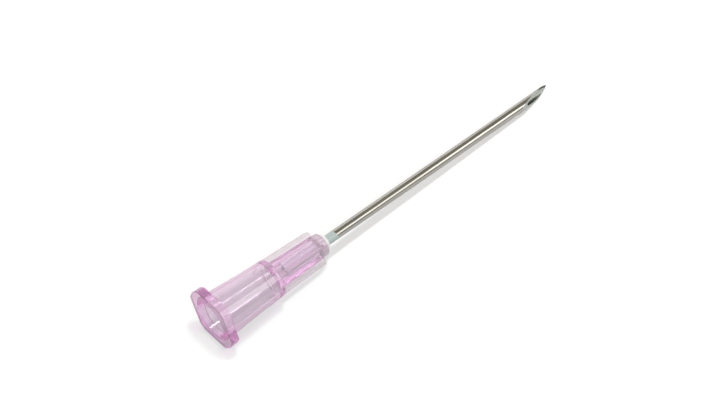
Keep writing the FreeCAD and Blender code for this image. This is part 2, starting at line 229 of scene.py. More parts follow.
def ring_mesh(name, points, crease_degrees, crease_rings=()):
    """Closed skin through a grid of points, joined to itself in both directions.

    The first index walks round the profile and the second round the axis. The
    signed volume, a sixth of the sum of each triangle's triple product, tells
    whether the faces point inwards, and then their order is turned round.
    """
    rings, columns = points.shape[:2]
    index = np.arange(rings * columns).reshape(rings, columns)
    across = np.roll(index, -1, axis=1)
    along = np.roll(index, -1, axis=0)
    corner = np.roll(across, -1, axis=0)
    quads = np.stack([index, across, corner, along], axis=-1).reshape(-1, 4)
    flat = MOUTH + points.reshape(-1, 3) @ NEEDLE_AXES
    a, b, c, d = (flat[quads[:, side]] - flat.mean(axis=0) for side in range(4))
    volume = np.einsum("ij,ij->", a, np.cross(b, c)) + np.einsum("ij,ij->", a, np.cross(c, d))
    if volume < 0:
        quads = quads[:, ::-1]
    mesh = bpy.data.meshes.new(name)
    mesh.vertices.add(len(flat))
    mesh.vertices.foreach_set("co", flat.astype(np.float32).ravel())
    mesh.loops.add(quads.size)
    mesh.loops.foreach_set("vertex_index", quads.astype(np.int32).ravel())
    mesh.polygons.add(len(quads))
    mesh.polygons.foreach_set("loop_start", np.arange(0, quads.size, 4, dtype=np.int32))
    mesh.update(calc_edges=True)
    mesh.shade_smooth()
    mesh.set_sharp_from_angle(angle=math.radians(crease_degrees))
    if len(crease_rings):
        ends = np.empty(len(mesh.edges) * 2, dtype=np.int32)
        mesh.edges.foreach_get("vertices", ends)
        first, second = ends.reshape(-1, 2).T // columns
        sharp = np.empty(len(mesh.edges), dtype=bool)
        mesh.edges.foreach_get("use_edge_sharp", sharp)
        sharp |= (first == second) & np.isin(first, crease_rings)
        mesh.edges.foreach_set("use_edge_sharp", sharp)
    piece = bpy.data.objects.new(name, mesh)
    bpy.context.scene.collection.objects.link(piece)
    return piece


def seat(piece, node, material):
    """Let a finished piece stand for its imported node, with its material."""
    piece.data.materials.append(material)
    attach(piece, "root")
    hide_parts(node)


# How the surfaces are divided: the length from which a straight leg has supports, and
# their places on it; places of the rings on the flange's faces and along the tube; the
# creases that stay sharp; and what counts as no difference.
LONG_LEG = 0.25 * MM
LEG_SUPPORTS = np.array([0.04, 0.5, 0.96])[:, None]
FACE_RINGS = np.array([0.03, 0.3, 0.65, 0.96])[:, None, None]
TUBE_RINGS = np.array([0, 0.01, 0.2, 0.5, 0.8, 0.92, 0.98, 1])[:, None]
PLASTIC_CREASE = 35
STEEL_CREASE = 60
HAIR = 0.001 * MM


def rounded_path(corners, steps=8):
    """Path of radius and height through corners, each with its own rounding.

    A corner of radius q between two legs that meet at the angle 2w starts and
    ends q / tan(w) away from it, and its arc is the sum of the two end spokes
    weighted by the sines of the swing that is left and done, over the sine of
    the whole. A long leg also has a point near each end that keeps it straight.
    """
    corners = np.array(corners, dtype=float)
    parts = []
    for place, (radius, height, rounding) in enumerate(corners):
        here = np.array([radius, height])
        if rounding == 0:
            parts.append(here[None, :])
            continue
        back = corners[place - 1, :2] - here
        ahead = corners[place + 1, :2] - here
        back /= np.linalg.norm(back)
        ahead /= np.linalg.norm(ahead)
        half = math.acos(np.clip(back @ ahead, -1, 1)) / 2
        reach = rounding / math.tan(half)
        centre = here + (back + ahead) / np.linalg.norm(back + ahead) * rounding / math.sin(half)
        start, end = here + back * reach - centre, here + ahead * reach - centre
        swing = math.pi - 2 * half
        done = np.linspace(0, 1, steps + 1)[:, None]
        arc = np.sin((1 - done) * swing) * start + np.sin(done * swing) * end
        parts.append(centre + arc / math.sin(swing))
    path = [parts[0]]
    for before, after in zip(parts, parts[1:]):
        start, end = before[-1], after[0]
        if np.linalg.norm(end - start) > LONG_LEG:
            path.append(start + (end - start) * LEG_SUPPORTS)
        path.append(after)
    return np.concatenate(path)


def flange_reach(turn, inset, hub):
    """Distance of the flange's outline from the axis, in the direction of a turn.

    The outline is a lug arc, a corner circle, a flank, a second corner circle and
    a crown arc, mirrored into four quarters. In polar form a flank at distance d
    is d / cos(turn - normal), and a circle of radius q whose centre lies at c is
    c cos(u) + sqrt(q^2 - c^2 sin(u)^2), with u the turn from that centre. Drawn
    in by an inset, every distance and rounding shrinks by it.
    """
    folded = np.abs((turn + math.pi / 2) % math.pi - math.pi / 2)
    flank = hub.flank_reach - inset
    result = flank / np.cos(folded - FLANK_NORMAL)
    arcs = ((hub.lug_radius, hub.lug_corner, -1), (hub.crown_radius, hub.crown_corner, 1))
    for outer, corner, way in arcs:
        rounding = corner - inset
        centre = outer - corner
        centre_turn = FLANK_NORMAL + way * np.arccos((hub.flank_reach - corner) / centre)
        foot = np.arctan2(centre * np.sin(centre_turn) + rounding * math.sin(FLANK_NORMAL),
                          centre * np.cos(centre_turn) + rounding * math.cos(FLANK_NORMAL))
        off = folded - centre_turn
        bend = centre * np.cos(off) + np.sqrt(np.maximum(rounding ** 2 - (centre * np.sin(off)) ** 2, 0))
        result = np.where(way * (folded - foot) > 0, bend, result)
        result = np.where(way * off > 0, outer - inset, result)
    return result


# Wings: how many, the half angle of the columns that follow one, the places of those
# columns on its top, edge, side and foot, the share of a low wing's height that each
# rounding may take, and the least that counts as standing.
WING_COUNT = 4
WING_SPREAD = math.radians(13)
WING_TOP = np.linspace(0, 1, 4)
WING_BEND = np.linspace(0, math.pi / 2, 5)[1:]
WING_DOWN = np.array([0.08, 0.35, 0.65, 0.92])
WING_SWING = np.linspace(0, 1, 7)
WING_ROOM = 0.45
LEAST_WING = 0.01 * MM
WING_HALF = len(WING_TOP) + len(WING_BEND) + len(WING_DOWN) + len(WING_SWING)


def wing_outline(core, reach, hub):
    """Half outline of a wing on a round core, as distances along and across its middle line.

    From the middle of its outer edge it runs to a softened corner, down the
    wing's side, through a hollow foot that touches both side and core, and onto
    the core. The roundings shrink where a wing stands low over the core.
    """
    core, reach = core[:, None], reach[:, None]
    half = hub.wing_thickness / 2
    room = WING_ROOM * (reach - core)
    edge = np.minimum(hub.wing_edge, room)
    foot = np.minimum(hub.wing_foot, room)
    foot_along = np.sqrt((core + foot) ** 2 - (half + foot) ** 2)
    swing = np.arctan2(foot_along, half + foot) * WING_SWING
    along = np.concatenate([
        reach + 0 * WING_TOP,
        reach - edge + edge * np.cos(WING_BEND),
        reach - edge + (foot_along - reach + edge) * WING_DOWN,
        foot_along - foot * np.sin(swing),
        core * math.cos(WING_SPREAD)], axis=1)
    across = np.concatenate([
        (half - edge) * WING_TOP,
        half - edge + edge * np.sin(WING_BEND),
        half + 0 * core * WING_DOWN,
        half + foot - foot * np.cos(swing),
        core * math.sin(WING_SPREAD)], axis=1)
    return (np.concatenate([along[:, :0:-1], along], axis=1),
            np.concatenate([-across[:, :0:-1], across], axis=1))


def wing_reach(height, hub):
    """Distance of a wing's outer edge from the axis: a straight taper, then a quarter circle."""
    wing_end = hub.hub_length - hub.wing_gap
    done = (height - hub.shoulder_height) / (wing_end - hub.shoulder_height)
    straight = hub.wing_root_reach + (hub.wing_end_reach - hub.wing_root_reach) * done
    into = np.clip(height - (wing_end - hub.wing_corner), 0, hub.wing_corner)
    return straight - hub.wing_corner + np.sqrt(np.maximum(hub.wing_corner ** 2 - into ** 2, 0))


def nose_radius(height, hub):
    """Radius of the plain nose: a straight taper from the shoulder to the end."""
    done = (height - hub.shoulder_height) / (hub.hub_length - hub.shoulder_height)
    return hub.nose_root_radius + (hub.nose_radius - hub.nose_root_radius) * done


def hub_outside(hub):
    """Turned outside up to the end of the wings, and from there to the well."""
    wing_end = hub.hub_length - hub.wing_gap
    slope = (hub.body_radius - hub.waist_radius) / hub.waist_height
    body_start = hub.body_radius - slope * hub.flange_thickness
    bends = wing_end - hub.wing_corner * (1 - np.sin(np.linspace(0, math.pi / 2, 9)))
    lower = rounded_path([
        (body_start + 2 * hub.body_foot, hub.flange_thickness, 0),
        (body_start, hub.flange_thickness, hub.body_foot),
        (hub.waist_radius, hub.waist_height, 0),
        (hub.shoulder_radius, hub.shoulder_height, hub.shoulder_round),
        (hub.nose_root_radius, hub.shoulder_height, hub.nose_root_fillet),
        *((nose_radius(height, hub), height, 0) for height in bends),
    ])
    upper = rounded_path([
        (nose_radius(wing_end, hub), wing_end, 0),
        (hub.nose_radius, hub.hub_length, hub.nose_round),
        (hub.well_radius, hub.hub_length, 0),
    ])
    return lower, upper


# Rounding where the socket's floor turns into the funnel.
FUNNEL_ROUND = 0.12 * MM


def hub_hollow(hub, tube):
    """Inside, from the well back to the mouth."""
    bore = tube.outer_radius + hub.tube_gap
    well_floor = hub.hub_length - hub.well_depth
    narrowing = hub.socket_taper / 2
    cone_end = hub.socket_radius - hub.socket_depth * narrowing
    return rounded_path([
        (hub.well_radius, hub.hub_length, 0),
        (hub.well_radius, well_floor + hub.well_cone, 0),
        (bore, well_floor, 0),
        (bore, hub.tube_seat, 0),
        (hub.passage_radius, hub.tube_seat, 0),
        (hub.passage_radius, hub.floor_height + hub.funnel_length, 0),
        (cone_end - hub.floor_step, hub.floor_height, FUNNEL_ROUND),
        (cone_end - hub.floor_step, hub.socket_depth + hub.floor_step, 0),
        (cone_end, hub.socket_depth, 0),
        (hub.socket_radius - hub.socket_chamfer * narrowing, hub.socket_chamfer, 0),
        (hub.socket_radius + hub.socket_chamfer, 0, 0),
    ])[1:]


def hub_grid(hub, tube, columns):
    """Grid of the whole moulding, ring by ring: mouth, flange, outside, well, hollow.

    A point is the needle axis plus its ring's reach in its column's direction.
    The reach is a radius, or the flange's outline drawn in by its rounding, or
    part of the way from one to the other on the flange's two faces. Where a wing
    stands over the core, its columns follow the wing's outline.
    """
    plain_columns = columns // WING_COUNT - 2 * WING_HALF - 1
    on_wing = np.linspace(-WING_SPREAD, WING_SPREAD, 2 * WING_HALF + 1)
    off_wing = np.linspace(WING_SPREAD, 2 * math.pi / WING_COUNT - WING_SPREAD, plain_columns + 2)[1:-1]
    off_middle = np.concatenate([on_wing, off_wing])
    wings = hub.wing_turn + np.arange(WING_COUNT)[:, None] * 2 * math.pi / WING_COUNT
    turns = (wings + off_middle)[None]

    bend = np.linspace(0, math.pi / 2, 7)
    inset = hub.flange_round * (1 - np.sin(bend))
    rise = hub.flange_round * (1 - np.cos(bend))
    side = hub.flange_round + (hub.flange_thickness - 2 * hub.flange_round) * LEG_SUPPORTS.ravel()
    edge_inset = np.concatenate([inset, 0 * side, inset[::-1]])
    edge_height = np.concatenate([rise, side, hub.flange_thickness - rise[::-1]])
    edge = flange_reach(turns, edge_inset[:, None, None], hub)

    lower, upper = hub_outside(hub)
    hollow = hub_hollow(hub, tube)
    mouth_rim = hub.socket_radius + hub.socket_chamfer
    turned = np.concatenate([lower, upper, hollow])
    reach = np.concatenate([
        mouth_rim + (edge[:1] - mouth_rim) * FACE_RINGS,
        edge,
        edge[-1:] + (lower[0, 0] - edge[-1:]) * FACE_RINGS,
        turned[:, 0, None, None] * np.ones_like(turns)])
    height = np.concatenate([
        0 * FACE_RINGS.ravel(), edge_height, 0 * FACE_RINGS.ravel() + hub.flange_thickness, turned[:, 1]])
    along = reach * np.cos(off_middle)
    across = reach * np.sin(off_middle)

    outer_edge = wing_reach(lower[:, 1], hub)
    over_body = lower[:, 1] > (hub.waist_height + hub.shoulder_height) / 2
    standing = np.flatnonzero(over_body & (outer_edge > lower[:, 0] + LEAST_WING))
    wing_along, wing_across = wing_outline(lower[standing, 0], outer_edge[standing], hub)
    winged = len(reach) - len(turned) + standing
    along[winged, :, :2 * WING_HALF + 1] = wing_along[:, None]
    across[winged, :, :2 * WING_HALF + 1] = wing_across[:, None]

    x = along * np.cos(wings) - across * np.sin(wings)
    y = along * np.sin(wings) + across * np.cos(wings)
    z = height[:, None, None] * np.ones_like(x)
    return np.stack([x, y, z], axis=-1).reshape(len(reach), -1, 3)


def ground_height(radius, turn, tube):
    """Height at which the ground faces cut the tube: the lowest of bevel and two facets.

    A face that leans from the axis by an angle, and passes the distance p from
    the axis at the height h in its own direction, has at a point the height
    h + (p - reach of the point in that direction) / tan(angle).
    """
    heel = tube.point_height - tube.bevel_length
    faces = [(tube.outer_radius, heel, tube.bevel_angle, tube.bevel_turn)]
    facet_reach = -tube.outer_radius * math.cos(tube.point_turn)
    for way in (-1, 1):
        facing = tube.bevel_turn + way * tube.point_turn
        faces.append((facet_reach, tube.point_height, tube.point_angle, facing))
    heights = [at + (passing - radius * np.cos(turn - facing)) / math.tan(lean)
               for passing, at, lean, facing in faces]
    return np.minimum.reduce(heights)


def cannula_grid(hub, tube, columns):
    """Grid of the tube: outside, ground faces, inside and rear face.

    On the outside and inside a point's height goes from the seat to the ground
    height of its own direction. Across the ground faces its radius goes from
    outside to inside while its height stays on the faces.
    """
    turn = np.linspace(0, 2 * math.pi, columns, endpoint=False)[None]
    across = np.linspace(0, 1, 7)[1:-1, None]
    wall = tube.outer_radius - tube.bore_radius
    outside_top = ground_height(tube.outer_radius, turn, tube)
    inside_top = ground_height(tube.bore_radius, turn, tube)
    ground_radius = tube.outer_radius - wall * across + 0 * turn
    rear_radius = tube.bore_radius + wall * across + 0 * turn
    radius = np.concatenate([
        tube.outer_radius + 0 * TUBE_RINGS * turn,
        ground_radius,
        tube.bore_radius + 0 * TUBE_RINGS * turn,
        rear_radius])
    height = np.concatenate([
        hub.tube_seat + (outside_top - hub.tube_seat) * TUBE_RINGS,
        ground_height(ground_radius, turn, tube),
        hub.tube_seat + (inside_top - hub.tube_seat) * TUBE_RINGS[::-1],
        hub.tube_seat + 0 * rear_radius])
    steps, faces = len(TUBE_RINGS), len(across)
    creases = (0, steps - 1, steps + faces, 2 * steps + faces - 1)
    points = np.stack([radius * np.cos(turn), radius * np.sin(turn), height], axis=-1)
    return points, creases


# Painted shade on the point: its strength on the lancet facet that looks up and on the
# other one, and from which sine of the turn the painted shade of the lumen's lower wall
# starts, and how steeply it rises.
FACET_SHADES = (0.85, 0.2)
LOWER_WALL_START = 0.4
LOWER_WALL_STEEPNESS = 2.5


def lumen_shade(points, tube):
    """Painted shade of the lumen's lower wall: it rises with the sine of the turn from the bevel's middle.
    """
    turn = np.arctan2(points[..., 1], points[..., 0])
    return np.clip(LOWER_WALL_STEEPNESS * (np.sin(turn - tube.bevel_turn) - LOWER_WALL_START), 0, 1)


def painted_lancet_shade(points, tube):
    """Painted shade of the lancet facets, where the bevel's own height exceeds the ground height.

    The facet that looks up is the darker one, and lies on the side of the bevel's
    middle where the sine of the turn from it is negative.
    """
    radius = np.hypot(points[..., 0], points[..., 1])
    turn = np.arctan2(points[..., 1], points[..., 0])
    heel = tube.point_height - tube.bevel_length
    reach = radius * np.cos(turn - tube.bevel_turn)
    bevel = heel + (tube.outer_radius - reach) / math.tan(tube.bevel_angle)
    shade = np.where(np.sin(turn - tube.bevel_turn) < 0, *FACET_SHADES)
    return shade * (ground_height(radius, turn, tube) < bevel - HAIR)


# Waves on the bead: part of the whole, periods round the axis and phase of each.
BEAD_WAVES = ((0.5, 2, 0.7), (0.3, 3, 2.1), (0.2, 5, 4.0))


def adhesive_grid(hub, tube, bead, columns):
    """Grid of the bead: a turned profile, uneven where it stands proud of the nose.

    Above the nose each height is lowered by one minus three slow waves round the
    axis, of two, three and five periods.
    """
    wall = hub.well_radius + bead.contact
    inner = tube.outer_radius - bead.contact
    well_floor = hub.hub_length - hub.well_depth
    top = hub.hub_length + bead.height
    profile = rounded_path([
        (inner, well_floor, 0),
        (tube.outer_radius + hub.tube_gap, well_floor, 0),
        (wall, well_floor + hub.well_cone, 0),
        (hub.well_radius, hub.hub_length, 0),
        (hub.well_radius, hub.hub_length + bead.land, bead.round),
        (tube.outer_radius + bead.rim, top, bead.round),
        (inner, top, 0)])
    turn = np.linspace(0, 2 * math.pi, columns, endpoint=False)[None]
    waves = sum(part * np.sin(periods * turn + phase) for part, periods, phase in BEAD_WAVES)
    radius, height = profile[:, :1] + 0 * turn, profile[:, 1:] + 0 * turn
    proud = np.clip((height - hub.hub_length) / bead.height, 0, 1)
    height = height + proud * bead.waviness * (waves - 1)
    return np.stack([radius * np.cos(turn), radius * np.sin(turn), height], axis=-1)


def feed(tree, socket, value):
    """Link a socket to another node's output, or give it a plain value."""
    if isinstance(value, bpy.types.NodeSocket):
        tree.links.new(value, socket)
    else:
        socket.default_value = value


def put(tree, kind, values=None, **traits):
    """Add a node, set its own traits and feed its inputs by name or place."""
    node = tree.nodes.new(kind)
    for trait, value in traits.items():
        setattr(node, trait, value)
    for socket, value in (values or {}).items():
        feed(tree, node.inputs[socket], value)
    return node


def between(tree, low, high, mask):
    """Mix two colours by a mask."""
    mix = put(tree, "ShaderNodeMix", {"Factor": mask}, data_type="RGBA")
    colours = [socket for socket in mix.inputs if socket.type == "RGBA"]
    for socket, value in zip(colours, (low, high)):
        feed(tree, socket, value if isinstance(value, bpy.types.NodeSocket) else (*value, 1.0))
    return next(socket for socket in mix.outputs if socket.type == "RGBA")


def spread(tree, source, low, high, start=0.0, end=1.0):
    """Map a value's range from start and end to low and high."""
    ranged = put(tree, "ShaderNodeMapRange", {
        "Value": source, "From Min": start, "From Max": end, "To Min": low, "To Max": high})
    return ranged.outputs["Result"]


def join(tree, operation, first, second):
    """Two values joined by a sum, product or other operation."""
    return put(tree, "ShaderNodeMath", {0: first, 1: second}, operation=operation).outputs["Value"]


def band(tree, source, low, high, soft):
    """Mask that is one between two values and fades over a soft edge."""
    rising = spread(tree, source, 0.0, 1.0, low - soft, low)
    falling = spread(tree, source, 1.0, 0.0, high, high + soft)
    return join(tree, "MULTIPLY", rising, falling)


def bumped(tree, height, depth):
    """Normal from a height, its depth in metres."""
    bump = put(tree, "ShaderNodeBump", {"Height": height, "Distance": depth, "Strength": 1.0})
    return bump.outputs["Normal"]


def start_group(name, inputs, outputs):
    """Empty group with named inputs, each with its default, and named outputs."""
    tree = bpy.data.node_groups.new(name, "ShaderNodeTree")
    for socket, (kind, default) in inputs.items():
        made = tree.interface.new_socket(name=socket, in_out="INPUT", socket_type=kind)
        if default is not None:
            made.default_value = default
    for socket in outputs:
        tree.interface.new_socket(name=socket, in_out="OUTPUT", socket_type="NodeSocketFloat")
    return tree, put(tree, "NodeGroupInput").outputs, put(tree, "NodeGroupOutput").inputs


def drawn_lines():
    """Lines along the needle: noise on coordinates that are stretched along the axis."""
    if "drawn lines" in bpy.data.node_groups:
        return bpy.data.node_groups["drawn lines"]
    inputs = {"Vector": ("NodeSocketVector", None), "Fineness": ("NodeSocketFloat", 6.0),
              "Stretch": ("NodeSocketFloat", 0.05)}
    tree, given, result = start_group("drawn lines", inputs, ("Lines", "Height"))
    squeeze = put(tree, "ShaderNodeCombineXYZ", {"X": 1.0, "Y": 1.0, "Z": given["Stretch"]})
    squeezed = put(tree, "ShaderNodeVectorMath", {
        0: given["Vector"], 1: squeeze.outputs["Vector"]}, operation="MULTIPLY")
    fine = put(tree, "ShaderNodeTexNoise", {
        "Vector": squeezed.outputs["Vector"], "Scale": given["Fineness"], "Detail": 3.0, "Roughness": 0.6})
    feed(tree, result["Lines"], spread(tree, fine.outputs["Fac"], 0.0, 1.0, 0.35, 0.65))
    feed(tree, result["Height"], fine.outputs["Fac"])
    return tree


def handling():
    """Soft uneven haze from handling and moulding, with a few fine specks."""
    if "handling" in bpy.data.node_groups:
        return bpy.data.node_groups["handling"]
    inputs = {"Vector": ("NodeSocketVector", None), "Patches": ("NodeSocketFloat", 0.6),
              "Fineness": ("NodeSocketFloat", 3.0)}
    tree, given, result = start_group("handling", inputs, ("Haze", "Height"))
    haze = put(tree, "ShaderNodeTexNoise", {
        "Vector": given["Vector"], "Scale": given["Patches"], "Detail": 2.0})
    cells = put(tree, "ShaderNodeTexVoronoi", {"Vector": given["Vector"], "Scale": given["Fineness"]})
    specks = spread(tree, cells.outputs["Distance"], 1.0, 0.0, 0.02, 0.12)
    feed(tree, result["Haze"], haze.outputs["Fac"])
    feed(tree, result["Height"], join(tree, "ADD", haze.outputs["Fac"], specks))
    return tree


def effect(tree, group, own, **values):
    """Outputs of a shared effect, placed in a material with its own values."""
    return put(tree, "ShaderNodeGroup", {"Vector": own, **values}, node_tree=group).outputs


def empty_tree(owner):
    """Cleared node tree of a material or world."""
    owner.use_nodes = True
    owner.node_tree.nodes.clear()
    return owner.node_tree


def new_material(name):
    """Empty material with its output's inputs and the needle's own coordinates in millimetres."""
    material = bpy.data.materials.new(name)
    tree = empty_tree(material)
    result = put(tree, "ShaderNodeOutputMaterial").inputs
    place = put(tree, "ShaderNodeTexCoord")
    own = put(tree, "ShaderNodeMapping", {
        "Vector": place.outputs["Object"], "Location": MOUTH,
        "Rotation": Matrix(NEEDLE_AXES.T.tolist()).to_euler(), "Scale": (MM, MM, MM)}, vector_type="TEXTURE")
    return material, tree, result, own.outputs["Vector"]


def height_along(tree, own):
    """Distance from the mouth along the needle."""
    return put(tree, "ShaderNodeSeparateXYZ", {"Vector": own}).outputs["Z"]


# Masks of the plastic, in millimetres: the ring round the mouth by its reach, how far
# a mask fades, how deep the tint of a face goes, and where past the body the flange's
# sides start. Then the share of the sides' painted pink for light piped through the
# plastic, and the slant from which an edge gets the deeper painted pink of light piped along it.
MOUTH_RING = (2.2, 2.75)
MASK_FADE = 0.1
FACE_DEPTH = (0.05, 0.15)
SIDE_START = (0.06, 0.16)
PAINTED_SIDE_PIPING = 0.35
EDGE_SLANT = (0.4, 0.85)


def plastic_material(hub, finish):
    """Clear tinted plastic: its depth takes up green, its shadow stays light.

    Masks of reach and height paint a deeper pink for light piped through the plastic on
    the ring round the mouth and the flange's sides, and painted shade on the lugs' faces
    and the wings; where the plastic is seen along its surface a deeper pink is painted
    for light piped along it.
    """
    material, tree, result, own = new_material("clear pink plastic")
    lines = effect(tree, drawn_lines(), own, Fineness=1.1, Stretch=0.04)
    marks = effect(tree, handling(), own, Patches=0.5)
    along = height_along(tree, own)
    flat = put(tree, "ShaderNodeVectorMath", {0: own, 1: (1.0, 1.0, 0.0)}, operation="MULTIPLY")
    off_axis = put(tree, "ShaderNodeVectorMath", {0: flat.outputs["Vector"]}, operation="LENGTH")
    reach = off_axis.outputs["Value"]
    body, thickness = hub.body_radius / MM, hub.flange_thickness / MM
    shoulder, nose = hub.shoulder_height / MM, hub.nose_root_radius / MM
    face = spread(tree, along, 1.0, 0.0, *FACE_DEPTH)
    # The ring round the mouth and the flange's sides get the deeper pink painted for light piped through the
    # plastic.
    ring = join(tree, "MULTIPLY", face, band(tree, reach, *MOUTH_RING, MASK_FADE))
    # The lugs' front faces get a painted shade.
    lugs = join(tree, "MULTIPLY", face, spread(tree, reach, 0.0, 1.0, body - MASK_FADE, body + MASK_FADE))
    outside = spread(tree, reach, 0.0, PAINTED_SIDE_PIPING, body + SIDE_START[0], body + SIDE_START[1])
    sides = join(tree, "MULTIPLY", outside, band(tree, along, MASK_FADE, thickness, MASK_FADE))
    # The wings past the shoulder get a painted shade.
    off_nose = spread(tree, reach, 0.0, 1.0, nose, nose + MASK_FADE)
    past_shoulder = spread(tree, along, 0.0, 1.0, shoulder, shoulder + 2 * MASK_FADE)
    wings = join(tree, "MULTIPLY", off_nose, past_shoulder)
    tint = between(tree, finish.hub_surface, finish.hub_flow, lines["Lines"])
    tint = between(tree, tint, finish.painted_wing_shade, wings)
    tint = between(tree, tint, finish.painted_lug_shade, lugs)
    tint = between(tree, tint, finish.painted_piped_rim, join(tree, "MAXIMUM", ring, sides))
    # Where the plastic is seen along its surface it gets the deeper pink painted for light piped along it;
    # on the flange that pink is the rim's.
    on_flange = spread(tree, along, 1.0, 0.0, thickness, thickness + MASK_FADE)
    edge = between(tree, finish.painted_piped_edge, finish.painted_piped_rim, on_flange)
    slant = put(tree, "ShaderNodeLayerWeight", {"Blend": 0.5}).outputs["Facing"]
    tint = between(tree, tint, edge, spread(tree, slant, 0.0, 1.0, *EDGE_SLANT))
    shader = put(tree, "ShaderNodeBsdfPrincipled", {
        "Base Color": tint, "Roughness": spread(tree, marks["Haze"], 0.03, 0.12),
        "Normal": bumped(tree, lines["Height"], 0.005 * MM), "Metallic": 0.0, "IOR": 1.49,
        "Transmission Weight": 0.8, "Coat Weight": 0.8, "Coat Roughness": 0.1})
    passing = put(tree, "ShaderNodeBsdfTransparent", {"Color": (*finish.hub_shadow, 1.0)})
    path = put(tree, "ShaderNodeLightPath").outputs
    unseen = join(tree, "MAXIMUM", path["Is Shadow Ray"], path["Is Diffuse Ray"])
    mix = put(tree, "ShaderNodeMixShader", {
        "Fac": unseen, 1: shader.outputs["BSDF"], 2: passing.outputs["BSDF"]})
    depth = put(tree, "ShaderNodeVolumeAbsorption", {
        "Color": (*finish.hub_depth, 1.0), "Density": finish.hub_density})
    feed(tree, result["Surface"], mix.outputs["Shader"])
    feed(tree, result["Volume"], depth.outputs["Volume"])
    return material


# Finish of the tube, in millimetres from the nose's end: length of the matte band, how
# far its end stands askew for each millimetre up and back, how sharp that end is, where
# the tint inside the nose fades, and place and fade of the faint ring. Then the painted
# shade inside the tube and where it fades past the bevel's heel, for the whole wall and
# for the lower wall, and the roughness that the matte band and the ground faces add.
MATTE_LENGTH = 2.0
MATTE_SKEW = 0.16
MATTE_FADE = 0.03
NOSE_FADE = 0.2
RING_PLACE = (5.0, 5.3)
RING_FADE = 0.12
LUMEN_SHADE = 0.9
LUMEN_FADE = (0.9, 2.1)
LOWER_SHADE = 0.95
LOWER_FADE = (2.8, 4.4)
MATTE_ROUGHNESS = 0.4
GROUND_ROUGHNESS = 0.35
# Masks of the tube: its ground faces, its lumen, and the painted shade of the lancet facets and of the
# lumen's lower wall.
TUBE_MASKS = ("ground", "lumen", "lancet", "lower_wall_shade")


def steel_material(hub, tube, finish):
    """Drawn steel with its matte band, a faint ring, the ground faces of the point, and painted shade in the
    tube and on the lancet facets.
    """
    material, tree, result, own = new_material("drawn stainless steel")
    lines = effect(tree, drawn_lines(), own, Fineness=5.0, Stretch=0.02)
    haze = effect(tree, handling(), own, Patches=0.9)["Haze"]
    along = height_along(tree, own)
    ground, lumen, lancet, lower_wall_shade = (
        put(tree, "ShaderNodeAttribute", attribute_name=name).outputs["Fac"] for name in TUBE_MASKS)
    nose_end = hub.hub_length / MM
    slope = (MATTE_SKEW * NEEDLE_AXES @ (UPRIGHT + FAR_SIDE)).tolist()
    askew = put(tree, "ShaderNodeVectorMath", {0: own, 1: slope}, operation="DOT_PRODUCT")
    skewed = join(tree, "ADD", along, askew.outputs["Value"])
    keyed_end = nose_end + MATTE_LENGTH
    keyed = spread(tree, skewed, 1.0, 0.0, keyed_end - MATTE_FADE, keyed_end + MATTE_FADE)
    inside = spread(tree, along, 1.0, 0.0, nose_end - NOSE_FADE, nose_end)
    ring = band(tree, along, nose_end + RING_PLACE[0], nose_end + RING_PLACE[1], RING_FADE)
    tint = between(tree, finish.steel, finish.steel_lines, lines["Lines"])
    tint = between(tree, tint, finish.ring_mark, join(tree, "MULTIPLY", ring, haze))
    tint = between(tree, tint, between(tree, finish.keyed_band, finish.keyed_end, inside), keyed)
    tint = between(tree, tint, finish.ground_steel, ground)
    # Painted shade: the lumen is darkened up to a little past the bevel's heel, its lower wall further
    # towards the point, and the lancet facets too.
    heel = (tube.point_height - tube.bevel_length) / MM
    whole_wall = spread(tree, along, LUMEN_SHADE, 0.0, heel + LUMEN_FADE[0], heel + LUMEN_FADE[1])
    lower_wall = spread(tree, along, LOWER_SHADE, 0.0, heel + LOWER_FADE[0], heel + LOWER_FADE[1])
    deep = join(tree, "MULTIPLY", lumen, whole_wall)
    deep = join(tree, "MAXIMUM", deep, join(tree, "MULTIPLY", lower_wall_shade, lower_wall))
    tint = between(tree, tint, finish.painted_shade_steel, join(tree, "MAXIMUM", deep, lancet))
    polished = spread(tree, haze, 0.10, 0.20)
    keyed_part = join(tree, "MULTIPLY", keyed, MATTE_ROUGHNESS)
    matte = join(tree, "ADD", keyed_part, join(tree, "MULTIPLY", ground, GROUND_ROUGHNESS))
    drawn = join(tree, "MULTIPLY", lines["Height"], join(tree, "SUBTRACT", 1.0, ground))
    shader = put(tree, "ShaderNodeBsdfPrincipled", {
        "Base Color": tint, "Metallic": spread(tree, keyed, 1.0, 0.25),
        "Roughness": join(tree, "ADD", polished, matte), "Normal": bumped(tree, drawn, 0.006 * MM)})
    feed(tree, result["Surface"], shader.outputs["BSDF"])
    return material


# Adhesive: how much paler its hazy patches are, and half the fade at the nose's end.
PALER = 1.12
BEAD_FADE = 0.05


def adhesive_material(hub, finish):
    """Cured resin: pale, slightly milky, with uneven gloss."""
    material, tree, result, own = new_material("cured adhesive")
    marks = effect(tree, handling(), own, Patches=1.5)
    pale = tuple(min(1.0, PALER * value) for value in finish.adhesive)
    outside = between(tree, finish.adhesive, pale, marks["Haze"])
    nose_end = hub.hub_length / MM
    proud = spread(tree, height_along(tree, own), 0.0, 1.0, nose_end - BEAD_FADE, nose_end + BEAD_FADE)
    shader = put(tree, "ShaderNodeBsdfPrincipled", {
        "Base Color": between(tree, finish.adhesive_tint, outside, proud),
        "Roughness": spread(tree, marks["Haze"], 0.15, 0.35),
        "Normal": bumped(tree, marks["Height"], 0.02 * MM),
        "Metallic": 0.0, "IOR": 1.5, "Transmission Weight": 0.3})
    feed(tree, result["Surface"], shader.outputs["BSDF"])
    return material


# Floor: fineness of its grain, the grain's darker tone, and the share of its lift that
# mirrors show.
FLOOR_GRAIN = 900.0
GRAIN_TONE = 0.995
MIRRORED_LIFT = 0.25


